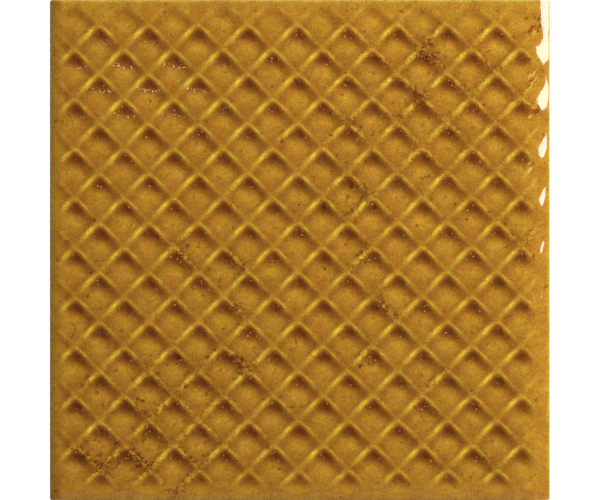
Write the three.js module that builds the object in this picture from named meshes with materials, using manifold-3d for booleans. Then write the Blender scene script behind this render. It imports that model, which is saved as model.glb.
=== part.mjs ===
// A square wall tile, pressed and fired in one piece, that lies on its back with the glazed face up.
// The face carries a diagonal lattice of low rounded ridges. Between them lie shallow diamond pockets,
// deepest towards their upper corner, which run out gently into a plain rim. The back has key grooves.
// Millimetres. +X is the tile's right side, +Y its upper side, +Z points out of the glazed face.
// The origin is the middle of the back.

import * as THREE from "three";
import { mergeGeometries, mergeVertices } from "three/addons/utils/BufferGeometryUtils.js";
import Module from "manifold-3d";

// Slab
const tileSide = 200;
const tileThickness = 8; // from the back to the ridge crests
const cornerRadius = 0.8; // of the four corners, seen from above
const arris = 0.3; // rounding of the sharp edge where the face meets a side

// Rims of the face, which fall away towards each side in a shallow curve
const leftRimWidth = 6.2;
const leftRimFall = 1.33;
const rightRimWidth = 11.5;
const rightRimFall = 2.17;
const upperRimWidth = 1.6;
const upperRimFall = 0.5;
const lowerRimWidth = 3.6;
const lowerRimFall = 0.24;

// Lattice of ridges
const diamondWidth = 19.8; // crest to crest of one diamond, from side to side
const diamondHeight = 19.8; // crest to crest of one diamond, from top to bottom
const latticeOffsetX = -0.8; // from the tile's middle to the middle of a diamond
const latticeOffsetY = 1.48;
const latticeTurn = 0.14; // degrees anticlockwise, as the face was pressed
const crestWidth = 1.6; // across the top of a ridge

// Pockets between the ridges
const pocketDepth = 0.65;
const shoulderDepth = 0.12; // height of the rounded edge of a ridge
const shoulderRun = 1.6; // width of that edge, along a diamond's axis
const wallRun = 4.6; // width of the steeper wall below it, along a diamond's axis
const poolLean = 2.2; // how far the pocket's floor is moved towards its upper corner

// Plain rim where the relief runs out
const rimMargin = 2.4; // from the tile's edge to where the pockets begin
const fadeWidth = 8; // from there to where they have their full depth

// Key grooves in the back
const grooveDepth = 0.7;
const grooveWidth = 8;
const groovePitch = 18;
const grooveDraft = 0.6; // slope of a groove's sides
const backMargin = 9; // plain border around the grooves

// Air that a cutting shape takes in above the surface that it cuts
const headroom = 2;

const wasm = await Module();
wasm.setup();

function solid(geometry) {
  const bare = geometry.clone();
  bare.deleteAttribute("normal");
  bare.deleteAttribute("uv");
  const merged = mergeVertices(bare);
  const vertProperties = new Float32Array(merged.attributes.position.array);
  const triVerts = new Uint32Array(merged.index.array);
  return new wasm.Manifold(new wasm.Mesh({ numProp: 3, vertProperties, triVerts }));
}

function geometryOf(manifold) {
  const { vertProperties, triVerts } = manifold.getMesh();
  const geometry = new THREE.BufferGeometry();
  geometry.setAttribute("position", new THREE.BufferAttribute(vertProperties, 3));
  geometry.setIndex(new THREE.BufferAttribute(triVerts, 1));
  geometry.computeVertexNormals();
  return geometry;
}

function rectangle(width, height) {
  const shape = new THREE.Shape();
  shape.moveTo(-width / 2, -height / 2);
  shape.lineTo(width / 2, -height / 2);
  shape.lineTo(width / 2, height / 2);
  shape.lineTo(-width / 2, height / 2);
  return shape;
}

function roundedSquare(side, radius) {
  const reach = side / 2;
  const straight = reach - radius;
  const shape = new THREE.Shape();
  shape.moveTo(straight, -reach);
  shape.absarc(straight, -straight, radius, -Math.PI / 2, 0);
  shape.absarc(straight, straight, radius, 0, Math.PI / 2);
  shape.absarc(-straight, straight, radius, Math.PI / 2, Math.PI);
  shape.absarc(-straight, -straight, radius, Math.PI, Math.PI * 1.5);
  return shape;
}

// A rectangular recess with sloping sides: its mouth is at z = 0 and it narrows downwards
function taperedRecess(width, height, depth, draft) {
  return new THREE.ExtrudeGeometry(rectangle(width - 2 * draft, height - 2 * draft), {
    depth: headroom,
    bevelThickness: depth,
    bevelSize: draft,
    bevelSegments: 1,
  });
}

// A block along Y whose flat top falls away in a shallow curve on both sides, to a small round arris
function fallingBlock(leftWidth, leftFall, rightWidth, rightFall) {
  const reach = tileSide / 2;
  const brink = reach - arris;
  const rightZ = tileThickness - rightFall;
  const leftZ = tileThickness - leftFall;
  const section = new THREE.Shape();
  section.moveTo(-reach, 0);
  section.lineTo(reach, 0);
  section.lineTo(reach, rightZ - arris);
  section.quadraticCurveTo(reach, rightZ - arris / 3, brink, rightZ);
  section.quadraticCurveTo(reach - rightWidth / 2, tileThickness, reach - rightWidth, tileThickness);
  section.lineTo(leftWidth - reach, tileThickness);
  section.quadraticCurveTo(leftWidth / 2 - reach, tileThickness, -brink, leftZ);
  section.quadraticCurveTo(-reach, leftZ - arris / 3, -reach, leftZ - arris);
  const block = new THREE.ExtrudeGeometry(section, {
    depth: tileSide,
    bevelEnabled: false,
    curveSegments: 4,
  });
  return block.rotateX(Math.PI / 2).translate(0, reach, 0);
}

// The plain slab, whose four rims fall away each in their own way
function slab() {
  const sides = fallingBlock(leftRimWidth, leftRimFall, rightRimWidth, rightRimFall);
  const ends = fallingBlock(lowerRimWidth, lowerRimFall, upperRimWidth, upperRimFall);
  const outline = new THREE.ExtrudeGeometry(roundedSquare(tileSide, cornerRadius), {
    depth: tileThickness,
    bevelEnabled: false,
    curveSegments: 3,
  });
  return solid(sides).intersect(solid(ends.rotateZ(Math.PI / 2))).intersect(solid(outline));
}

// One diamond pocket with its mouth at z = 0 and its floor moved towards +Y
function pocket() {
  const crestAlongAxis = crestWidth * Math.SQRT1_2;
  const mouth = diamondWidth / 2 - crestAlongAxis;
  const shoulder = mouth - shoulderRun;
  const floor = shoulder - wallRun;
  const profile = [
    new THREE.Vector2(0, -pocketDepth),
    new THREE.Vector2(floor, -pocketDepth),
    new THREE.Vector2(shoulder, -shoulderDepth),
    new THREE.Vector2(mouth, 0),
    new THREE.Vector2(mouth, headroom),
    new THREE.Vector2(0, headroom),
  ];
  const cutter = new THREE.LatheGeometry(profile, 4);
  cutter.rotateX(Math.PI / 2);
  cutter.scale(1, diamondHeight / diamondWidth, 1);
  const lean = new THREE.Matrix4().makeShear(0, 0, 0, 0, 0, -poolLean / pocketDepth);
  return cutter.applyMatrix4(lean);
}

// All pockets of the lattice whose middle lies on the tile or just off it, level with the crests
function pocketField() {
  const reach = tileSide / 2;
  const columns = Math.ceil((2 * reach) / diamondWidth);
  const rows = Math.ceil((2 * reach) / diamondHeight);
  const pockets = [];
  for (let column = -columns; column <= columns; column++) {
    for (let row = -rows; row <= rows; row++) {
      const x = latticeOffsetX + (column * diamondWidth) / 2;
      const y = latticeOffsetY + (row * diamondHeight) / 2;
      const isPocket = (column + row) % 2 === 0;
      if (isPocket && Math.abs(x) < reach && Math.abs(y) < reach) {
        pockets.push(pocket().translate(x, y, 0));
      }
    }
  }
  const side = tileSide - 2 * rimMargin;
  const fade = taperedRecess(side, side, pocketDepth, fadeWidth);
  const field = mergeGeometries(pockets).rotateZ(THREE.MathUtils.degToRad(latticeTurn));
  return solid(field).intersect(solid(fade)).translate(0, 0, tileThickness);
}

// Straight key grooves, the same on both sides of the plain land across the middle of the back
function keyGrooves() {
  const length = tileSide - 2 * backMargin;
  const grooves = [];
  for (let y = groovePitch / 2; y + grooveWidth / 2 <= length / 2; y += groovePitch) {
    for (const side of [-1, 1]) {
      const groove = taperedRecess(length, grooveWidth, grooveDepth, grooveDraft);
      grooves.push(groove.rotateX(Math.PI).translate(0, side * y, 0));
    }
  }
  return solid(mergeGeometries(grooves));
}

const glaze = new THREE.MeshStandardMaterial({ color: 0xa86e22, roughness: 0.16, metalness: 0 });

const tileBody = slab().subtract(pocketField()).subtract(keyGrooves());
const wallTile = new THREE.Mesh(geometryOf(tileBody), glaze);
wallTile.name = "wall_tile";

const tile = new THREE.Group();
tile.add(wallTile);

export default tile;
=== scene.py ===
"""Dresses a square honey-glazed wall tile with a diamond lattice and sets it in a plain pale studio.

The tile lies on its back. Its CAD solid stays as the frame, and one fine mesh of the same size stands
for it here: the glazed face with its ridges and pockets, the round rim, the sides and the keyed back.
All sizes are in metres, +Z out of the glazed face, +Y to the tile's upper side.
"""

import logging
import math
from dataclasses import dataclass, field
from enum import Enum
from typing import Any

import bmesh
import bpy
import numpy as np
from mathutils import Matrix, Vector


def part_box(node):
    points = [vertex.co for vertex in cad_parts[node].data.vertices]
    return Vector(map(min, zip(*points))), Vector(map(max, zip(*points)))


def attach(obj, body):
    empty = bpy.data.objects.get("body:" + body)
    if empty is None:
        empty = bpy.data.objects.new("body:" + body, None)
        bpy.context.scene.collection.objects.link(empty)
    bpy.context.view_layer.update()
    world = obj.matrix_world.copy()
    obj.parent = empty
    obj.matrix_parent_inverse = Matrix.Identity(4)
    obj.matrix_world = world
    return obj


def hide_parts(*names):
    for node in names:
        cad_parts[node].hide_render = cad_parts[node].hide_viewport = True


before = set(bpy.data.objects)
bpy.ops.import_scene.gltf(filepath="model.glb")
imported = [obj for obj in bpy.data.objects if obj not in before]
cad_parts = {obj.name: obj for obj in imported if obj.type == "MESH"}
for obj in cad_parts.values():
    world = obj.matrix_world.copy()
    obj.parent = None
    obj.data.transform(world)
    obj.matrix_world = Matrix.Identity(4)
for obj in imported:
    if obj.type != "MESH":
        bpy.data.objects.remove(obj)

LOG = logging.getLogger("wall_tile")
MM = 0.001
WELD = 0.001 * MM
FULL_TURN = 2.0 * math.pi
TILE_NODE = "wall_tile"
TILE_BODY = "root"
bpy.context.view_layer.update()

Array = np.ndarray
Colour = tuple[float, float, float]


class Slot(Enum):
    """The record's material slots."""

    HONEY_GLAZE = "honey_glaze"


class PointData(Enum):
    """Names of the values that the tile's mesh keeps at each of its points."""

    LATTICE = "lattice"
    AGEING = "ageing"
    # Where the foam's painted glints and painted shade show.
    FROTH_GLINT = "froth_glint"


def smoothstep(low: float, high: float, value: Array) -> Array:
    """Rises smoothly from 0 at low to 1 at high.

    Args:
        low: Where the step starts.
        high: Where it ends.
        value: The values to turn into a step.

    Returns:
        An array of numbers from 0 to 1.
    """
    t = np.clip((value - low) / (high - low), 0.0, 1.0)
    return t * t * (3.0 - 2.0 * t)


@dataclass(frozen=True)
class Lattice:
    """The diagonal lattice of ridges, a little turned, stretched and bowed as it was pressed."""

    diamond_width: float = 19.8 * MM
    diamond_height: float = 19.8 * MM
    offset_x: float = -0.8 * MM
    offset_y: float = 1.48 * MM
    turn: float = math.radians(0.14)
    stretch: float = 0.18 * MM
    stretch_length: float = 230 * MM
    stretch_phase: float = 0.2
    bow_of_rising_ridges: float = 0.02

    @property
    def spacing(self) -> float:
        """Distance from one ridge to the next parallel one."""
        return self.diamond_width * self.diamond_height / math.hypot(self.diamond_width, self.diamond_height)

    def coordinates(self, x: Array, y: Array) -> tuple[Array, Array]:
        """Gives each point's place in the lattice.

        Args:
            x: Places to the tile's right.
            y: Places to its upper side.

        Returns:
            Two numbers a point, whole in the middle of a diamond. The first grows towards the upper
            right, across the falling ridges, and the second towards the upper left.
        """
        stretching = np.sin(FULL_TURN * x / self.stretch_length - self.stretch_phase)
        u = x - self.offset_x - self.stretch * stretching
        v = y - self.offset_y
        turned_u = u * math.cos(self.turn) + v * math.sin(self.turn)
        turned_v = v * math.cos(self.turn) - u * math.sin(self.turn)
        across = turned_v / self.diamond_height + turned_u / self.diamond_width
        along = turned_v / self.diamond_height - turned_u / self.diamond_width
        bowed_along = along - self.bow_of_rising_ridges * np.cos(FULL_TURN * across)
        return across, bowed_along


@dataclass(frozen=True)
class FadeBand:
    """Where the relief dies away towards one edge of the tile, as distances from that edge."""

    gone: float
    whole: float

    def share(self, inside: Array) -> Array:
        """Share of the relief that is left at a distance from the edge."""
        return smoothstep(self.gone, self.whole, inside)


@dataclass(frozen=True)
class Relief:
    """How far the glazed face lies below the plane of the ridge crests."""

    lattice: Lattice = field(default_factory=Lattice)
    depth: float = 1.2 * MM
    upper_right_slope: float = 0.27
    upper_left_slope: float = 0.23
    lower_left_slope: float = 0.08
    lower_right_slope: float = 0.14
    crest_radius: float = 2.2 * MM
    fillet_sharpness: float = 3.2
    least_drop: float = 1e-7
    left: FadeBand = FadeBand(1.5 * MM, 8.5 * MM)
    right: FadeBand = FadeBand(3.0 * MM, 13.0 * MM)
    upper: FadeBand = FadeBand(0.3 * MM, 13.0 * MM)
    lower: FadeBand = FadeBand(2.4 * MM, 12.0 * MM)
    dent_depth: float = 0.39 * MM
    dent_inside: float = 6.0 * MM
    dent_width: float = 5.1 * MM
    dent_curl: float = 0.54
    dent_shift: float = 0.314
    dent_fullness: float = 0.84
    dent_at_top: float = 0.5
    dents_level: FadeBand = FadeBand(10.0 * MM, 20.0 * MM)

    def wall(self, distance: Array, slope: float) -> Array:
        """Drop of a pocket's wall at a distance from its ridge, with the ridge's crest rounded."""
        rounded = np.sqrt(distance**2 + self.crest_radius**2) - self.crest_radius
        return rounded * slope + self.least_drop

    def drop(self, x: Array, y: Array) -> Array:
        """Works out the full relief, before it fades into the rim.

        Args:
            x: Places to the tile's right.
            y: Places to its upper side.

        Returns:
            The drop below the crests at each point.
        """
        across, along = self.lattice.coordinates(x, y)
        across = across - np.round(across)
        along = along - np.round(along)
        spacing = self.lattice.spacing
        limits = [
            self.wall((0.5 - across) * spacing, self.upper_right_slope),
            self.wall((0.5 - along) * spacing, self.upper_left_slope),
            self.wall((0.5 + across) * spacing, self.lower_left_slope),
            self.wall((0.5 + along) * spacing, self.lower_right_slope),
            np.full_like(x, self.depth),
        ]
        power = self.fillet_sharpness
        total = sum((MM / limit) ** power for limit in limits)
        return MM * total ** (-1.0 / power)

    def fade(self, x: Array, y: Array, reach: float) -> Array:
        """Works out how much of the relief is left near the tile's edges.

        Args:
            x: Places to the tile's right.
            y: Places to its upper side.
            reach: Half of the tile's side.

        Returns:
            A share from 0 at the edge to 1.
        """
        level = self.left.share(reach + x) * self.right.share(reach - x)
        return level * self.upper.share(reach - y) * self.lower.share(reach + y)

    def dents(self, x: Array, y: Array, reach: float) -> Array:
        """Works out the shallow dents of the half diamonds that run over the right rim.

        They curl downwards on their way out, and turn into one even hollow near the upper edge.

        Args:
            x: Places to the tile's right.
            y: Places to its upper side.
            reach: Half of the tile's side.

        Returns:
            The drop that they add at each point.
        """
        outwards = x - reach + self.dent_inside
        curled = self.dent_curl * outwards**2 / self.dent_inside
        middle = (y - self.lattice.offset_y + curled) / self.lattice.diamond_height
        wave = 0.5 + 0.5 * np.cos(FULL_TURN * (middle - self.dent_shift))
        dented = self.dents_level.share(reach - y)
        wave = wave**self.dent_fullness * dented + self.dent_at_top * (1.0 - dented)
        return self.dent_depth * wave * np.exp(-((outwards / self.dent_width) ** 2))


@dataclass(frozen=True)
class Round:
    """The round edge of the face along one side: part of an ellipse that ends in a small round arris."""

    width: float
    drop: float
    share_of_ellipse: float
    arris: float = 0.3 * MM
    share_of_arris: float = 0.95

    def fall(self, inside: Array) -> Array:
        """Works out how far the round edge lies below the face.

        Args:
            inside: Distances from the tile's edge, inwards.

        Returns:
            The fall at each place.
        """
        share = self.share_of_ellipse * np.clip(1.0 - inside / self.width, 0.0, 1.0)
        whole = 1.0 - math.sqrt(1.0 - self.share_of_ellipse**2)
        over_arris = self.share_of_arris * np.clip(1.0 - inside / self.arris, 0.0, 1.0)
        fall = self.drop * (1.0 - np.sqrt(1.0 - share**2)) / whole
        return fall + self.arris * (1.0 - np.sqrt(1.0 - over_arris**2))


@dataclass(frozen=True)
class AgeSpot:
    """A patch of brown specks in the glaze."""

    x: float
    y: float
    radius: float
    strength: float = 1.0


@dataclass
class Tile:
    """The whole tile as one mesh that fits the CAD solid's box."""

    relief: Relief = field(default_factory=Relief)
    divisions: int = 256
    left_round: Round = Round(6.2 * MM, 1.33 * MM, 0.41)
    right_round: Round = Round(11.5 * MM, 2.17 * MM, 0.32)
    upper_round: Round = Round(1.6 * MM, 0.50 * MM, 0.6, 0.2 * MM)
    lower_round: Round = Round(3.6 * MM, 0.24 * MM, 0.6)
    upper_round_in_corner: float = 0.3
    upper_round_calming: FadeBand = FadeBand(2.0 * MM, 14.0 * MM)
    rim_width: float = 10.0 * MM
    rim_rings: int = 20
    ring_crowding: float = 1.5
    corner_radius: float = 0.8 * MM
    face_tolerance: float = 0.1 * MM
    foot_bevel: float = 0.4 * MM
    side_rings: int = 2
    side_margin: float = 1.3 * MM
    groove_depth: float = 0.7 * MM
    groove_width: float = 8 * MM
    groove_pitch: float = 18 * MM
    groove_draft: float = 0.6 * MM
    back_margin: float = 9 * MM
    age_spots: tuple[AgeSpot, ...] = (
        AgeSpot(52 * MM, 79 * MM, 9 * MM),
        AgeSpot(47 * MM, 61 * MM, 5 * MM, 1.2),
        AgeSpot(78 * MM, 77 * MM, 6 * MM, 0.8),
        AgeSpot(94 * MM, 90 * MM, 4 * MM, 1.3),
        AgeSpot(91 * MM, 68 * MM, 3 * MM, 1.2),
        AgeSpot(94 * MM, 57 * MM, 3 * MM, 1.2),
        AgeSpot(83 * MM, 60 * MM, 3 * MM),
        AgeSpot(14 * MM, 79 * MM, 3 * MM, 0.7),
        AgeSpot(33 * MM, 72 * MM, 6 * MM, 0.6),
        AgeSpot(22 * MM, 50 * MM, 8 * MM, 0.6),
        AgeSpot(48 * MM, 34 * MM, 8 * MM, 0.5),
        AgeSpot(21 * MM, 21 * MM, 9 * MM, 0.7),
        AgeSpot(23 * MM, -2 * MM, 5 * MM),
        AgeSpot(35 * MM, -22 * MM, 7 * MM, 0.8),
        AgeSpot(22 * MM, -40 * MM, 8 * MM, 0.6),
        AgeSpot(89 * MM, 8 * MM, 6 * MM, 0.8),
        AgeSpot(-46 * MM, -1 * MM, 7 * MM, 0.8),
        AgeSpot(-25 * MM, -6 * MM, 7 * MM, 0.7),
        AgeSpot(-23 * MM, -22 * MM, 5 * MM, 1.0),
        AgeSpot(-24 * MM, -45 * MM, 8 * MM, 0.8),
        AgeSpot(-86 * MM, -52 * MM, 4 * MM, 0.7),
        AgeSpot(-60 * MM, -62 * MM, 8 * MM, 0.7),
        AgeSpot(-80 * MM, -82 * MM, 9 * MM, 1.0),
        AgeSpot(-63 * MM, -83 * MM, 7 * MM, 1.1),
        AgeSpot(-42 * MM, -81 * MM, 8 * MM, 0.8),
        AgeSpot(-48 * MM, -92 * MM, 9 * MM, 0.6),
        AgeSpot(-50 * MM, -62 * MM, 34 * MM, 0.36),
        AgeSpot(55 * MM, 55 * MM, 40 * MM, 0.30),
        AgeSpot(53 * MM, -52 * MM, 6 * MM, 0.5),
        AgeSpot(74 * MM, -84 * MM, 5 * MM, 0.5),
    )
    # Where the foam's painted glints and painted shade lie, in the upper left.
    froth_glint_middle: tuple[float, float] = (-64 * MM, 66 * MM)
    froth_glint_reach: tuple[float, float] = (34 * MM, 15 * MM)

    def __post_init__(self) -> None:
        """Takes the tile's box from the frame."""
        low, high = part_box(TILE_NODE)
        self.reach = (high[0] - low[0]) / 2.0
        self.top = high[2]

    def rim_fall(self, x: Array, y: Array) -> Array:
        """Works out how far the rim's round edges lie below the face, with a mitre at each corner.

        Args:
            x: Places to the tile's right.
            y: Places to its upper side.

        Returns:
            The fall at each point. The upper edge is rounded less in its right corner.
        """
        sides = np.maximum(self.right_round.fall(self.reach - x), self.left_round.fall(self.reach + x))
        whole = self.upper_round_calming.share(self.reach - x)
        calmed = self.upper_round_in_corner + (1.0 - self.upper_round_in_corner) * whole
        upper = self.upper_round.fall(self.reach - y) * calmed
        ends = np.maximum(upper, self.lower_round.fall(self.reach + y))
        return np.maximum(sides, ends)

    def place_ring(self, verts: list[bmesh.types.BMVert], from_half: float, half: float, z: float) -> None:
        """Moves a ring of the mesh outwards or inwards and to a height.

        Args:
            verts: The ring's vertices, on a square.
            from_half: Half side of that square.
            half: Half side of the new one, whose corners are rounded.
            z: Height of the new ring.
        """
        share = half / from_half
        straight = half - self.corner_radius * max(0.0, 1.0 - (self.reach - half) / self.corner_radius)
        for vert in verts:
            place = Vector((vert.co.x * share, vert.co.y * share, z))
            corner = Vector((math.copysign(straight, place.x), math.copysign(straight, place.y), z))
            if abs(place.x) > straight and abs(place.y) > straight and half > straight:
                place = corner + (place - corner).normalized() * (half - straight)
            vert.co = place

    def grow_ring(
        self, bm: bmesh.types.BMesh, edges: list[bmesh.types.BMEdge], from_half: float, half: float, z: float
    ) -> list[bmesh.types.BMEdge]:
        """Extrudes the open border of the mesh by one ring.

        Args:
            bm: The mesh that is being built.
            edges: Its open border.
            from_half: Half side of that border.
            half: Half side of the new one.
            z: Height of the new one.

        Returns:
            The edges of the new border.
        """
        grown = bmesh.ops.extrude_edge_only(bm, edges=edges)["geom"]
        verts = [item for item in grown if isinstance(item, bmesh.types.BMVert)]
        self.place_ring(verts, from_half, half, z)
        return [item for item in grown if isinstance(item, bmesh.types.BMEdge)]

    def shell(self, bm: bmesh.types.BMesh) -> None:
        """Makes the flat face with finer rings towards its edge, the sides and the back's plain plate."""
        half = self.reach - self.rim_width
        bmesh.ops.create_grid(bm, x_segments=self.divisions, y_segments=self.divisions, size=half)
        bmesh.ops.translate(bm, verts=bm.verts, vec=(0.0, 0.0, self.top))
        border = [edge for edge in bm.edges if edge.is_boundary]
        for ring in range(1, self.rim_rings + 1):
            new_half = self.reach - self.rim_width * (1.0 - ring / self.rim_rings) ** self.ring_crowding
            border = self.grow_ring(bm, border, half, new_half, self.top)
            half = new_half
        side_top = self.top - self.right_round.drop - self.relief.dent_depth - self.side_margin
        for ring in range(self.side_rings):
            z = side_top + (self.foot_bevel - side_top) * (ring + 1) / self.side_rings
            border = self.grow_ring(bm, border, half, half, z)
        border = self.grow_ring(bm, border, half, half - self.foot_bevel, 0.0)
        bmesh.ops.contextual_create(bm, geom=border)
        bmesh.ops.recalc_face_normals(bm, faces=bm.faces)

    def key_the_back(self, bm: bmesh.types.BMesh) -> None:
        """Sinks straight key grooves into the back, the same on both sides of its middle."""
        length = self.reach - self.back_margin
        centres = []
        y = self.groove_pitch / 2
        while y + self.groove_width / 2 <= length:
            centres += [y, -y]
            y += self.groove_pitch
        cuts = [((side * length, 0.0, 0.0), (1.0, 0.0, 0.0)) for side in (-1, 1)]
        for centre in centres:
            for side in (-1, 1):
                cuts.append(((0.0, centre + side * self.groove_width / 2, 0.0), (0.0, 1.0, 0.0)))
        for point, normal in cuts:
            back = [face for face in bm.faces if self.is_back(face)]
            near = back + list({edge for face in back for edge in face.edges})
            near += list({vert for face in back for vert in face.verts})
            bmesh.ops.bisect_plane(bm, geom=near, dist=WELD, plane_co=point, plane_no=normal)
        mouths = []
        for face in bm.faces:
            middle = face.calc_center_median()
            in_groove = any(abs(middle.y - centre) < self.groove_width / 4 for centre in centres)
            if self.is_back(face) and abs(middle.x) < length / 2 and in_groove:
                mouths.append(face)
        bmesh.ops.inset_individual(
            bm, faces=mouths, thickness=self.groove_draft, depth=-self.groove_depth, use_even_offset=True
        )

    def build(self) -> bpy.types.Object:
        """Builds the tile's mesh and keeps the pattern's values at its points.

        Returns:
            The tile, at the origin.
        """
        bm = bmesh.new()
        self.shell(bm)
        self.key_the_back(bm)
        for face in bm.faces:
            face.smooth = face.normal.z > -0.5
        for edge in bm.edges:
            edge.smooth = all(face.smooth for face in edge.link_faces) and not self.is_arris(edge)
        mesh = bpy.data.meshes.new("glazed_tile")
        bm.to_mesh(mesh)
        bm.free()
        self.press_relief(mesh)
        tile = bpy.data.objects.new("glazed_tile", mesh)
        bpy.context.scene.collection.objects.link(tile)
        return tile

    @staticmethod
    def is_back(face: bmesh.types.BMFace) -> bool:
        """Whether a face of the mesh lies flat in the back."""
        return face.normal.z < -0.99

    def is_arris(self, edge: bmesh.types.BMEdge) -> bool:
        """Whether an edge of the mesh lies where the glazed face meets a side."""
        level = all(vert.co.z > self.top - self.face_tolerance for vert in edge.verts)
        border = self.reach - 0.5 * self.corner_radius
        outer = all(max(abs(vert.co.x), abs(vert.co.y)) > border for vert in edge.verts)
        return level and outer and any(face.normal.z < 0.5 for face in edge.link_faces)

    def press_relief(self, mesh: bpy.types.Mesh) -> None:
        """Lowers the face between the ridges, and stores what the glaze's pattern follows.

        Args:
            mesh: The tile's mesh, with a flat face.
        """
        places = np.empty(len(mesh.vertices) * 3)
        mesh.vertices.foreach_get("co", places)
        x, y, z = places.reshape(-1, 3).T
        fade = self.relief.fade(x, y, self.reach)
        level = self.relief.drop(x, y) * fade + self.relief.dents(x, y, self.reach)
        pressed = z - self.rim_fall(x, y) - level
        z = np.where(z > self.top - self.face_tolerance, pressed, z)
        mesh.vertices.foreach_set("co", np.column_stack((x, y, z)).ravel())
        mesh.update()
        across, along = self.relief.lattice.coordinates(x, y)
        lattice = mesh.attributes.new(PointData.LATTICE.value, "FLOAT_VECTOR", "POINT")
        lattice.data.foreach_set("vector", np.column_stack((across, along, fade)).ravel())
        self.store(mesh, PointData.AGEING, self.ageing(x, y))
        self.store(mesh, PointData.FROTH_GLINT, self.froth_glint(x, y))

    @staticmethod
    def store(mesh: bpy.types.Mesh, name: PointData, values: Array) -> None:
        """Keeps one number at each of the mesh's points."""
        layer = mesh.attributes.new(name.value, "FLOAT", "POINT")
        layer.data.foreach_set("value", np.ascontiguousarray(values))

    def ageing(self, x: Array, y: Array) -> Array:
        """How many brown specks the glaze has at each point, from 0 to about 1."""
        total = np.zeros_like(x)
        for spot in self.age_spots:
            away = ((x - spot.x) ** 2 + (y - spot.y) ** 2) / spot.radius**2
            total = np.maximum(total, spot.strength * np.exp(-away))
        return total

    def froth_glint(self, x: Array, y: Array) -> Array:
        """How strongly the foam's painted glints and painted shade show in the glaze's pools at each point,
        from 0 to 1.
        """
        across = (x - self.froth_glint_middle[0]) / self.froth_glint_reach[0]
        along = (y - self.froth_glint_middle[1]) / self.froth_glint_reach[1]
        return np.exp(-((across**2 + along**2) ** 2))


class Wire:
    """One value in a material, on which Python's operators add Math nodes."""

    def __init__(self, bench: "Bench", socket: bpy.types.NodeSocket) -> None:
        """Wraps a socket of the material that the bench builds."""
        self.bench = bench
        self.socket = socket

    def __add__(self, other: "Wire | float") -> "Wire":
        """Adds."""
        return self.bench.maths("ADD", self, other)

    def __radd__(self, other: float) -> "Wire":
        """Adds to a plain number."""
        return self.bench.maths("ADD", other, self)

    def __sub__(self, other: "Wire | float") -> "Wire":
        """Subtracts."""
        return self.bench.maths("SUBTRACT", self, other)

    def __rsub__(self, other: float) -> "Wire":
        """Subtracts from a plain number."""
        return self.bench.maths("SUBTRACT", other, self)

    def __mul__(self, other: "Wire | float") -> "Wire":
        """Multiplies."""
        return self.bench.maths("MULTIPLY", self, other)

    def __rmul__(self, other: float) -> "Wire":
        """Multiplies a plain number."""
        return self.bench.maths("MULTIPLY", other, self)

    def __truediv__(self, other: "Wire | float") -> "Wire":
        """Divides."""
        return self.bench.maths("DIVIDE", self, other)

    def __pow__(self, other: float) -> "Wire":
        """Raises to a power."""
        return self.bench.maths("POWER", self, other)

    def __abs__(self) -> "Wire":
        """Drops the sign."""
        return self.bench.maths("ABSOLUTE", self)

    def folded(self) -> "Wire":
        """Distance from the nearest whole number, from -0.5 to 0.5."""
        return self.bench.maths("FRACT", self + 0.5) - 0.5

    def step(self, low: float, high: float) -> "Wire":
        """Rises smoothly from 0 at low to 1 at high."""
        settings = {"interpolation_type": "SMOOTHSTEP"}
        inputs = {"Value": self, "From Min": low, "From Max": high}
        return self.bench.node("ShaderNodeMapRange", settings, inputs).out("Result")

    def bell(self, middle: float, width: float) -> "Wire":
        """A bell curve that is 1 at the middle and 1/e a width away from it."""
        away = (self - middle) / width
        return self.bench.maths("EXPONENT", 0.0 - away * away)


class Knot:
    """A node that the bench has made, with its outputs by name."""

    def __init__(self, bench: "Bench", node: bpy.types.Node) -> None:
        """Keeps the node and the bench that made it."""
        self.bench = bench
        self.node = node

    def out(self, name: str) -> Wire:
        """Gives one of the node's outputs."""
        enabled = [socket for socket in self.node.outputs if socket.name == name and socket.enabled]
        return Wire(self.bench, enabled[0])


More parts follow.
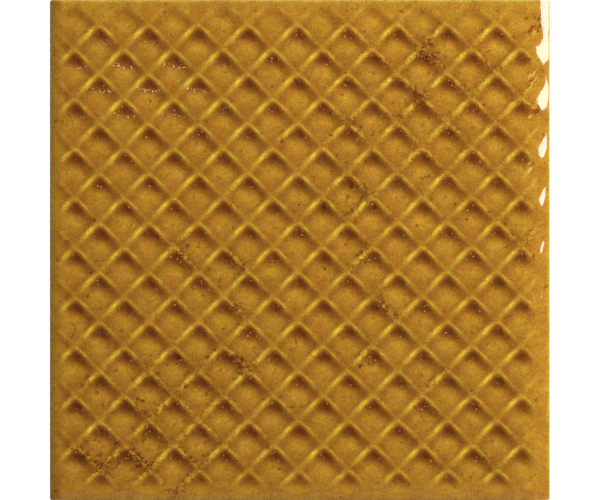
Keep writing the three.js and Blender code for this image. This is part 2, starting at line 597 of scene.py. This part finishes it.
class Bench:
    """Builds one material out of nodes."""

    def __init__(self, name: str) -> None:
        """Starts an empty material.

        Args:
            name: The material's name.
        """
        self.material = bpy.data.materials.new(name)
        self.material.use_nodes = True
        self.tree = self.material.node_tree
        self.tree.nodes.clear()

    def node(self, kind: str, settings: dict[str, Any], inputs: dict[str | int, Any]) -> Knot:
        """Makes a node.

        Args:
            kind: Blender's name for the type of node.
            settings: Its own settings, set first. Ramp stops are a list of (place, colour) pairs.
            inputs: Values or wires for its sockets, by name or number.

        Returns:
            The node, ready for its outputs to be used.
        """
        node = self.tree.nodes.new(kind)
        for name, value in settings.items():
            if name == "stops":
                self.set_stops(node.color_ramp, value)
            else:
                setattr(node, name, value)
        for name, value in inputs.items():
            sockets = node.inputs
            socket = sockets[name] if isinstance(name, int) else self.open_socket(sockets, name)
            if isinstance(value, Wire):
                self.tree.links.new(value.socket, socket)
            else:
                socket.default_value = value
        return Knot(self, node)

    @staticmethod
    def open_socket(sockets: bpy.types.NodeInputs, name: str) -> bpy.types.NodeSocket:
        """Finds the input of a name that the node's settings leave in use."""
        return [socket for socket in sockets if socket.name == name and socket.enabled][0]

    @staticmethod
    def set_stops(ramp: bpy.types.ColorRamp, stops: list[tuple[float, Colour]]) -> None:
        """Gives a ramp its colours."""
        while len(ramp.elements) < len(stops):
            ramp.elements.new(1.0)
        for element, (place, colour) in zip(ramp.elements, stops):
            element.position = place
            element.color = (*colour, 1.0)

    def maths(self, operation: str, first: Wire | float, second: Wire | float | None = None) -> Wire:
        """Adds a Math node.

        Args:
            operation: What it does.
            first: Its first value.
            second: Its second one, where the operation takes two.

        Returns:
            The result.
        """
        inputs: dict[str | int, Any] = {0: first}
        if second is not None:
            inputs[1] = second
        return self.node("ShaderNodeMath", {"operation": operation}, inputs).out("Value")

    def mixed(self, factor: Wire | float, first: Any, second: Any, blend: str = "MIX") -> Wire:
        """Mixes two colours.

        Args:
            factor: Share of the second one.
            first: The first colour.
            second: The second colour.
            blend: How they are mixed.

        Returns:
            The mixed colour.
        """
        settings = {"data_type": "RGBA", "blend_type": blend}
        inputs = {"Factor": factor, "A": self.colour(first), "B": self.colour(second)}
        return self.node("ShaderNodeMix", settings, inputs).out("Result")

    @staticmethod
    def colour(value: Any) -> Any:
        """Gives a plain colour its alpha."""
        return value if isinstance(value, Wire) else (*value, 1.0)

    def noise(self, place: Wire, scale: float, detail: float = 2.0, roughness: float = 0.5) -> Wire:
        """A noise between 0 and 1 with so many features to the metre."""
        inputs = {"Vector": place, "Scale": scale, "Detail": detail, "Roughness": roughness}
        return self.node("ShaderNodeTexNoise", {}, inputs).out("Fac")

    def point_value(self, name: PointData) -> Knot:
        """Reads a value that the mesh keeps at its points."""
        return self.node("ShaderNodeAttribute", {"attribute_name": name.value}, {})


@dataclass(frozen=True)
class Clay:
    """The pale fired body, where it is bare."""

    light: Colour = (0.62, 0.40, 0.26)
    dark: Colour = (0.50, 0.31, 0.19)

    def colour(self, bench: Bench, place: Wire) -> Wire:
        """The body's colour, a little mottled."""
        return bench.mixed(bench.noise(place, 700.0, 4.0), self.light, self.dark)


@dataclass(frozen=True)
class Unevenness:
    """A random change of the glaze's thickness, with so many features to the metre."""

    scale: float
    detail: float
    roughness: float
    range_mm: float

    def thickness(self, bench: Bench, place: Wire) -> Wire:
        """The change in millimetres at each place."""
        return (bench.noise(place, self.scale, self.detail, self.roughness) - 0.5) * self.range_mm


@dataclass(frozen=True)
class EdgeChange:
    """Thicker or thinner glaze, so a darker or lighter colour, towards one edge, between two distances from
    the tile's middle.
    """

    begins: float
    whole: float
    extra_mm: float

    def thickness(self, outwards: Wire) -> Wire:
        """The change in millimetres at a distance from the tile's middle."""
        return outwards.step(self.begins, self.whole) * self.extra_mm


@dataclass(frozen=True)
class Dots:
    """Small round dots in the glaze, painted glints of its air pockets, at random places of which some stay
    empty.
    """

    scale: float
    empty_below: float
    filled_above: float
    core: float
    rim: float
    dimmest: float

    def strength(self, bench: Bench, place: Wire) -> Wire:
        """Works out how bright the dots are.

        Args:
            bench: Where the material is built.
            place: The point's place.

        Returns:
            Their strength, from 0 between them to 1.
        """
        cells = bench.node("ShaderNodeTexVoronoi", {}, {"Vector": place, "Scale": self.scale})
        chance = bench.node("ShaderNodeSeparateColor", {}, {"Color": cells.out("Color")})
        chosen = chance.out("Red").step(self.empty_below, self.filled_above)
        brightness = self.dimmest + chance.out("Green") ** 2.0 * (1.0 - self.dimmest)
        return chosen * brightness * (1.0 - cells.out("Distance").step(self.core, self.rim))


@dataclass(frozen=True)
class HoneyGlaze:
    """Glossy honey-amber glaze over a pale fired body that is bare on the back and the foot."""

    clay: Clay = field(default_factory=Clay)
    lattice: Lattice = field(default_factory=Lattice)
    body_through_glaze: Colour = (0.386, 0.258, 0.0190)
    absorbed_a_mm: Colour = (5.0, 8.0, 6.4)
    thinnest: float = -0.06
    thickest: float = 0.42
    stops: int = 11
    even: float = 0.094
    # Strength of the lattice pattern: real pools plus painted shade under the ridges and painted highlight
    # on the crests.
    pooling_shade_and_light: float = 1.1
    clouds: Unevenness = Unevenness(95.0, 2.0, 0.5, 0.055)
    mottle: Unevenness = Unevenness(330.0, 3.0, 0.6, 0.11)
    grain: Unevenness = Unevenness(1500.0, 2.0, 0.5, 0.15)
    # Painted shade: thicker, darker glaze over the right rim's slope, which faces the lamp, holds back its
    # light there.
    right_rim_painted_shade: EdgeChange = EdgeChange(90.0 * MM, 98.0 * MM, 0.027)
    # Darker towards the upper, lower and left edges.
    darker_above: EdgeChange = EdgeChange(94.0 * MM, 97.0 * MM, 0.014)
    darker_below: EdgeChange = EdgeChange(88.0 * MM, 94.0 * MM, 0.018)
    darker_left: EdgeChange = EdgeChange(94.0 * MM, 97.0 * MM, 0.012)
    thinned_right: EdgeChange = EdgeChange(98.4 * MM, 99.3 * MM, -0.025)
    olive: Colour = (0.98, 1.03, 1.0)
    reddish: Colour = (1.02, 0.94, 1.0)
    crest_tint: Colour = (1.0, 1.035, 1.0)
    crest_band: tuple[float, float] = (0.40, 0.50)
    edge_tint: Colour = (0.95, 1.15, 1.0)
    clear: Colour = (1.0, 1.0, 0.55)
    milky: Colour = (1.0, 1.0, 1.45)
    # Brown of the real specks, also used for the painted shade in the foam's rows.
    speck_and_shade_brown: Colour = (0.40, 0.22, 0.40)
    # Real air pockets in the pools, painted as pale glints: painted highlight.
    bubble_glint: Colour = (0.42, 0.20, 0.06)
    bubble_glint_dots: Dots = Dots(820.0, 0.61, 0.71, 0.12, 0.36, 0.3)
    bubbly_depths: tuple[float, float] = (0.08, 0.15)
    # Painted highlight: pale glints of the foam's air pockets; painted shade darkens the rows they lie in.
    froth_glint: Colour = (0.60, 0.40, 0.16)
    froth_glint_dots: Dots = Dots(1350.0, 0.20, 0.45, 0.24, 0.52, 1.0)
    froth_glint_row_width: float = 0.06
    froth_row_painted_shade: float = 0.4
    worn: Colour = (0.34, 0.27, 0.17)
    # Painted highlight: short pale golden glints of the lamp in the right rim.
    rim_glint: Colour = (0.45, 0.31, 0.07)
    rim_glints_middle: float = 92.5 * MM
    rim_glints_width: float = 1.7 * MM
    # Painted reflection: the pale misty band along the lower rim, with a darker line along its wavy border.
    painted_reflection_tint: Colour = (0.97, 0.93, 1.5)
    reflection_height: float = 2.2 * MM
    reflection_wave: float = 2.2 * MM
    reflection_softness: float = 0.2 * MM
    reflection_line: float = 0.3 * MM
    reflection_line_mm: float = 0.02
    worn_strip: tuple[float, float] = (0.3 * MM, 0.9 * MM)
    worn_share: float = 0.7
    glaze_line: float = 2.6 * MM
    glaze_run: float = 1.2 * MM
    glaze_line_softness: float = 0.5 * MM
    roughness: float = 0.05
    clay_roughness: float = 0.85
    ior: float = 1.5
    specular_level: float = 0.37
    bump_strength: float = 0.25
    bump_height: float = 0.12 * MM

    def colour_at(self, thickness: float) -> Colour:
        """Works out the glaze's colour where it is so many millimetres thick: its light dies off in it."""
        red, green, blue = (
            colour * math.exp(-absorbed * thickness)
            for colour, absorbed in zip(self.body_through_glaze, self.absorbed_a_mm)
        )
        return red, green, blue

    def lattice_thickness_shade_and_light(self, across: Wire, along: Wire) -> Wire:
        """Works out how much thicker the glaze lies in the pools, and how much thinner on the ridges: partly
        real pools of thick glaze, partly painted shade under the ridges and painted highlight on their
        crests.

        Args:
            across: Place in the diamond towards the upper right, from -0.5 to 0.5.
            along: Place in it towards the upper left.

        Returns:
            The difference in millimetres.
        """
        # Painted shade: darker glaze under the falling and rising ridges and the apex, partly real pools of
        # glaze, partly shade painted in.
        under_falling = across.bell(0.301, 0.144) * (0.034 - 0.081 * along)
        under_apex = across.bell(0.320, 0.227) * along.bell(0.334, 0.235) * 0.376
        under_rising = along.bell(0.336, 0.139) * 0.029
        foot_of_falling = across.bell(0.341, 0.101) * along.step(-0.3, 0.3) * 0.057
        below_rising = along.bell(-0.403, 0.065) * across.bell(0.058, 0.17) * 0.068
        lower_left = (across + 0.444).folded().bell(0.0, 0.359) * 0.061
        lower_right = (along + 0.383).folded().bell(0.0, 0.334) * 0.022
        crossing = (across - 0.5).folded().bell(0.0, 0.089) * (along - 0.5).folded().bell(0.0, 0.089) * 0.048
        # Painted highlight: thinner, brighter glaze on the crests and the apex, partly real thin glaze,
        # partly painted light.
        on_falling = (across - 0.495).folded().bell(0.0, 0.066) * (0.034 + 0.080 * along.bell(0.270, 0.276))
        on_rising = (along - 0.506).folded().bell(0.0, 0.098) * (0.053 + 0.104 * across.bell(0.235, 0.221))
        edge_of_rising = along.bell(0.463, 0.052) * across.bell(0.014, 0.177) * 0.028
        foot_of_rising = along.bell(0.443, 0.073) * across.step(-0.3, 0.3) * 0.026
        on_apex = across.bell(0.345, 0.197) * along.bell(0.345, 0.197) * 0.310
        upper_pools_and_shade = under_falling + under_apex + under_rising + foot_of_falling
        pools = upper_pools_and_shade + below_rising + lower_left + lower_right + crossing
        return pools - on_falling - on_rising - edge_of_rising - foot_of_rising - on_apex - 0.015

    def smudges(self, bench: Bench, place: Wire, across: Wire, along: Wire) -> Wire:
        """Works out the brown specks, blots and hairlines, thick in the aged patches and few elsewhere.

        Args:
            bench: Where the material is built.
            place: The point's place.
            across: Place in the diamond towards the upper right.
            along: Place in it towards the upper left.

        Returns:
            Their strength, from 0 to 1.
        """
        ageing = bench.point_value(PointData.AGEING).out("Fac")
        by_ridge = bench.maths("MAXIMUM", abs(across), abs(along)).step(0.28, 0.46)
        patches = ageing * bench.noise(place, 190.0, 2.0).step(0.38, 0.58)
        blots = bench.noise(place, 360.0, 5.0, 0.60) + patches * 0.10 + by_ridge * patches * 0.10
        hairline = bench.noise(place, 260.0, 4.0, 0.62).bell(0.5, 0.032) * by_ridge * (ageing * 1.4 + 0.15)
        return bench.maths("MAXIMUM", blots.step(0.59, 0.77), hairline)

    def froth_glint_rows(
        self, bench: Bench, place: Wire, across: Wire, along: Wire, fade: Wire
    ) -> tuple[Wire, Wire]:
        """Works out the rows of fine foam along the lower edge of the pools in the upper left: painted
        glints of its air pockets, with painted shade in the rows.

        Args:
            bench: Where the material is built.
            place: The point's place.
            across: Place in the diamond towards the upper right.
            along: Place in it towards the upper left.
            fade: Share of the relief that is left there.

        Returns:
            The strength of the painted shade in the rows that the foam lies in and that of its pale dots,
            painted glints, from 0 to 1.
        """
        side = across - along
        height = across + along
        wander = (bench.noise(place, 150.0, 3.0) - 0.5) * 0.26
        row = height - 0.25 + side * 0.12 - side * side * 0.36 + wander
        froth_glint_share = bench.point_value(PointData.FROTH_GLINT).out("Fac") * fade.step(0.3, 0.7)
        rows = row.bell(0.0, self.froth_glint_row_width) * (1.0 - abs(side).step(0.40, 0.62)) * froth_glint_share
        return rows * self.froth_row_painted_shade, rows * self.froth_glint_dots.strength(bench, place)

    def rim_painted_glints(self, bench: Bench, place: Wire, x: Wire, y: Wire) -> Wire:
        """Works out the short pale streaks of painted highlight, glints of the lamp, where the half diamonds
        run out into the right rim.

        Args:
            bench: Where the material is built.
            place: The point's place.
            x: Place to the tile's right.
            y: Place to its upper side.

        Returns:
            Their strength, from 0 to 1.
        """
        by_crossing = self.wave(bench, y - self.lattice.offset_y, self.lattice.diamond_height)
        settings = {"vector_type": "TEXTURE"}
        turned = {"Vector": place, "Rotation": (0.0, 0.0, -0.6), "Scale": (1.0, 5.0, 1.0)}
        slanting = bench.node("ShaderNodeMapping", settings, turned).out("Vector")
        line = bench.noise(slanting, 700.0, 1.0).step(0.60, 0.72)
        upper = y.step(-20 * MM, 60 * MM)
        return line * x.bell(self.rim_glints_middle, self.rim_glints_width) * by_crossing * upper

    @staticmethod
    def wave(bench: Bench, place: Wire, length: float) -> Wire:
        """A wave that is 0 at the place 0 and 1 half a length further."""
        return 0.5 - bench.maths("COSINE", place * (FULL_TURN / length)) * 0.5

    def lower_painted_reflection(self, bench: Bench, x: Wire, inside: Wire) -> Wire:
        """Works out the painted reflection along the lower rim, a pale misty band whose border waves with
        the half diamonds.

        Args:
            bench: Where the material is built.
            x: Place to the tile's right.
            inside: Distance from its lower edge.

        Returns:
            The height above the band's border in metres, below 0 in the band.
        """
        wave = self.wave(bench, x - self.lattice.offset_x, self.lattice.diamond_width)
        return inside - self.reflection_height - wave * self.reflection_wave

    def thickness(self, bench: Bench, place: Wire, x: Wire, y: Wire) -> Wire:
        """Works out how thick the glaze lies outside the lattice's pools, with its unevenness, darker colour
        towards the edges and painted shade over the right rim.

        Args:
            bench: Where the material is built.
            place: The point's place.
            x: Place to the tile's right.
            y: Place to its upper side.

        Returns:
            The thickness in millimetres.
        """
        total = self.clouds.thickness(bench, place) + self.even
        total = total + self.mottle.thickness(bench, place) + self.grain.thickness(bench, place)
        # Painted shade over the right rim; darker colour towards the other edges.
        total = total + self.right_rim_painted_shade.thickness(x) + self.darker_above.thickness(y)
        total = total + self.darker_left.thickness(0.0 - x) + self.darker_below.thickness(0.0 - y)
        return total + self.thinned_right.thickness(x)

    def build(self) -> bpy.types.Material:
        """Makes the material.

        Returns:
            The finished material.
        """
        bench = Bench("honey_glaze")
        place = bench.node("ShaderNodeTexCoord", {}, {}).out("Object")
        parts = bench.node("ShaderNodeSeparateXYZ", {}, {"Vector": place})
        x, y, z = parts.out("X"), parts.out("Y"), parts.out("Z")
        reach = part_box(TILE_NODE)[1][0]
        lattice = bench.point_value(PointData.LATTICE).out("Vector")
        cell = bench.node("ShaderNodeSeparateXYZ", {}, {"Vector": lattice})
        across, along, fade = cell.out("X").folded(), cell.out("Y").folded(), cell.out("Z")
        # The lattice pattern holds real pools of glaze plus painted shade under the ridges and painted
        # highlight on their crests.
        pools = self.lattice_thickness_shade_and_light(across, along) * fade * self.pooling_shade_and_light
        # Painted reflection: a pale band along the lower rim, with a darker line at its border.
        above_reflection_border = self.lower_painted_reflection(bench, x, y + reach)
        reflection_line = above_reflection_border.bell(0.0, self.reflection_line) * self.reflection_line_mm
        thickness = pools + self.thickness(bench, place, x, y) + reflection_line
        glaze = self.glaze_colour(bench, place, thickness)
        crest = bench.maths("MAXIMUM", abs(across), abs(along)).step(*self.crest_band) * fade
        glaze = bench.mixed(crest, glaze, self.crest_tint, "MULTIPLY")
        edge = bench.maths("MAXIMUM", x, y).step(self.thinned_right.begins, self.thinned_right.whole)
        glaze = bench.mixed(edge, glaze, self.edge_tint, "MULTIPLY")
        # Painted reflection: the lower rim's band is tinted paler and bluer.
        in_painted_reflection = 1.0 - above_reflection_border.step(-self.reflection_softness, self.reflection_softness)
        glaze = bench.mixed(in_painted_reflection, glaze, self.painted_reflection_tint, "MULTIPLY")
        glaze = bench.mixed(self.smudges(bench, place, across, along), glaze, self.speck_and_shade_brown, "MULTIPLY")
        # Painted highlight: air pockets in the deeper pools, painted as pale glints.
        bubble_glints = self.bubble_glint_dots.strength(bench, place) * pools.step(*self.bubbly_depths)
        glaze = bench.mixed(bubble_glints, glaze, self.bubble_glint)
        # Painted shade in the foam's rows and painted glints of its air pockets, in the upper left pools.
        rows, dots = self.froth_glint_rows(bench, place, across, along, fade)
        glaze = bench.mixed(rows, glaze, self.speck_and_shade_brown, "MULTIPLY")
        glaze = bench.mixed(dots, glaze, self.froth_glint)
        # Painted highlight: glints of the lamp in the right rim.
        glaze = bench.mixed(self.rim_painted_glints(bench, place, x, y), glaze, self.rim_glint)
        wear = (1.0 - (x + reach).step(*self.worn_strip)) * self.worn_share
        chipped = bench.noise(place, 1300.0, 3.0, 0.6).step(0.44, 0.62)
        glaze = bench.mixed(wear * chipped, glaze, self.worn)
        run = bench.noise(place, 120.0, 2.0) * self.glaze_run
        glazed = (z + run).step(self.glaze_line, self.glaze_line + self.glaze_line_softness)
        colour = bench.mixed(glazed, self.clay.colour(bench, place), glaze)
        roughness = self.clay_roughness - glazed * (self.clay_roughness - self.roughness)
        inputs = {"Base Color": colour, "Roughness": roughness, "Normal": self.ripples(bench, place, x)}
        inputs |= {"IOR": self.ior, "Specular IOR Level": self.specular_level}
        shader = bench.node("ShaderNodeBsdfPrincipled", {}, inputs).out("BSDF")
        bench.node("ShaderNodeOutputMaterial", {}, {"Surface": shader})
        return bench.material

    def ripples(self, bench: Bench, place: Wire, x: Wire) -> Wire:
        """Works out the glaze's faint ripples, stronger where the dents begin and calm on the right rim.

        Args:
            bench: Where the material is built.
            place: The point's place.
            x: Place to the tile's right.

        Returns:
            The rippled surface's normal.
        """
        strength = 1.0 + x.bell(93 * MM, 2.5 * MM) * 2.0 - x.step(94 * MM, 96 * MM) * 0.8
        broad = bench.noise(place, 420.0, 2.0) * 0.5
        height = (broad + bench.noise(place, 2600.0, 2.0) * 0.08) * strength
        inputs = {"Strength": self.bump_strength, "Distance": self.bump_height, "Height": height}
        return bench.node("ShaderNodeBump", {}, inputs).out("Normal")

    def glaze_colour(self, bench: Bench, place: Wire, thickness: Wire) -> Wire:
        """Turns the glaze's thickness into its colour, with faint olive and reddish clouds.

        Args:
            bench: Where the material is built.
            place: The point's place.
            thickness: The glaze's thickness in millimetres.

        Returns:
            The colour.
        """
        span = self.thickest - self.thinnest
        shares = [number / (self.stops - 1) for number in range(self.stops)]
        stops = [(share, self.colour_at(self.thinnest + span * share)) for share in shares]
        share = (thickness - self.thinnest) / span
        glaze = bench.node("ShaderNodeValToRGB", {"stops": stops}, {"Fac": share}).out("Color")
        warmth = bench.noise(place, 430.0, 3.0, 0.6).step(0.36, 0.64)
        glaze = bench.mixed(1.0, glaze, bench.mixed(warmth, self.olive, self.reddish), "MULTIPLY")
        milkiness = bench.noise(place, 1230.0, 2.0).step(0.30, 0.70)
        return bench.mixed(1.0, glaze, bench.mixed(milkiness, self.clear, self.milky), "MULTIPLY")


@dataclass(frozen=True)
class Softbox:
    """A rectangular studio light that looks at one point."""

    name: str
    place: tuple[float, float, float]
    target: tuple[float, float, float]
    width: float
    height: float
    power: float

    def build(self) -> None:
        """Sets the light up."""
        light = bpy.data.lights.new(self.name, "AREA")
        light.shape = "RECTANGLE"
        light.size = self.width
        light.size_y = self.height
        light.energy = self.power
        lamp = bpy.data.objects.new(self.name, light)
        lamp.location = self.place
        aim = Vector(self.target) - Vector(self.place)
        lamp.rotation_euler = aim.to_track_quat("-Z", "Y").to_euler()
        bpy.context.scene.collection.objects.link(lamp)


@dataclass
class Studio:
    """The pale floor, the soft light and the camera straight above the tile."""

    frame_width: float = 240 * MM
    lens: float = 200.0
    sensor: float = 36.0
    silhouette_height: float = 6.0 * MM
    clip_end: float = 20.0
    floor_side: float = 6.0
    floor_gap: float = 0.02 * MM
    floor_grey: Colour = (0.35, 0.35, 0.35)
    white: Colour = (1.0, 1.0, 1.0)
    sky_strength: float = 0.08
    softbox: Softbox = Softbox(
        "upper_right_softbox", (0.845, 0.653, 0.824), (0.0, 0.0, 0.0), 0.98, 1.02, 69.5
    )

    def floor(self) -> None:
        """Lays a plain white floor under the tile."""
        bm = bmesh.new()
        bmesh.ops.create_grid(bm, x_segments=1, y_segments=1, size=self.floor_side / 2)
        mesh = bpy.data.meshes.new("floor")
        bm.to_mesh(mesh)
        bm.free()
        floor = bpy.data.objects.new("floor", mesh)
        floor.location.z = -self.floor_gap
        bench = Bench("floor_white")
        inputs = {
            "Base Color": Bench.colour(self.floor_grey),
            "Roughness": 0.9,
            "Emission Color": Bench.colour(self.white),
            "Emission Strength": 1.0,
        }
        shader = bench.node("ShaderNodeBsdfPrincipled", {}, inputs).out("BSDF")
        bench.node("ShaderNodeOutputMaterial", {}, {"Surface": shader})
        mesh.materials.append(bench.material)
        bpy.context.scene.collection.objects.link(floor)

    def sky(self) -> None:
        """Fills the room with a little even light."""
        world = bpy.data.worlds.new("studio")
        world.use_nodes = True
        background = world.node_tree.nodes["Background"]
        background.inputs["Color"].default_value = Bench.colour(self.white)
        background.inputs["Strength"].default_value = self.sky_strength
        bpy.context.scene.world = world

    def camera(self) -> None:
        """Hangs the camera straight above, so that the tile's side fills the picture's height."""
        distance = self.frame_width * self.lens / self.sensor
        lens = bpy.data.cameras.new("camera")
        lens.lens = self.lens
        lens.sensor_width = self.sensor
        lens.clip_end = self.clip_end
        camera = bpy.data.objects.new("camera", lens)
        camera.location = (0.0, 0.0, self.silhouette_height + distance)
        bpy.context.scene.collection.objects.link(camera)
        bpy.context.scene.camera = camera

    def build(self) -> None:
        """Sets everything up, with colours shown as they are."""
        self.floor()
        self.sky()
        self.camera()
        self.softbox.build()
        view = bpy.context.scene.view_settings
        view.view_transform = "Standard"
        view.look = "None"


def main() -> None:
    """Builds the studio and the tile, hangs the tile on its body, hides the CAD part and logs the tile's
    triangles.
    """
    logging.basicConfig(level=logging.INFO, format="%(message)s")
    Studio().build()
    tile = Tile().build()
    tile.data.materials.append(HoneyGlaze().build())
    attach(tile, TILE_BODY)
    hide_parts(TILE_NODE)
    tile.data.calc_loop_triangles()
    LOG.info("%s: %d triangles", tile.name, len(tile.data.loop_triangles))


if __name__ == "__main__":
    main()
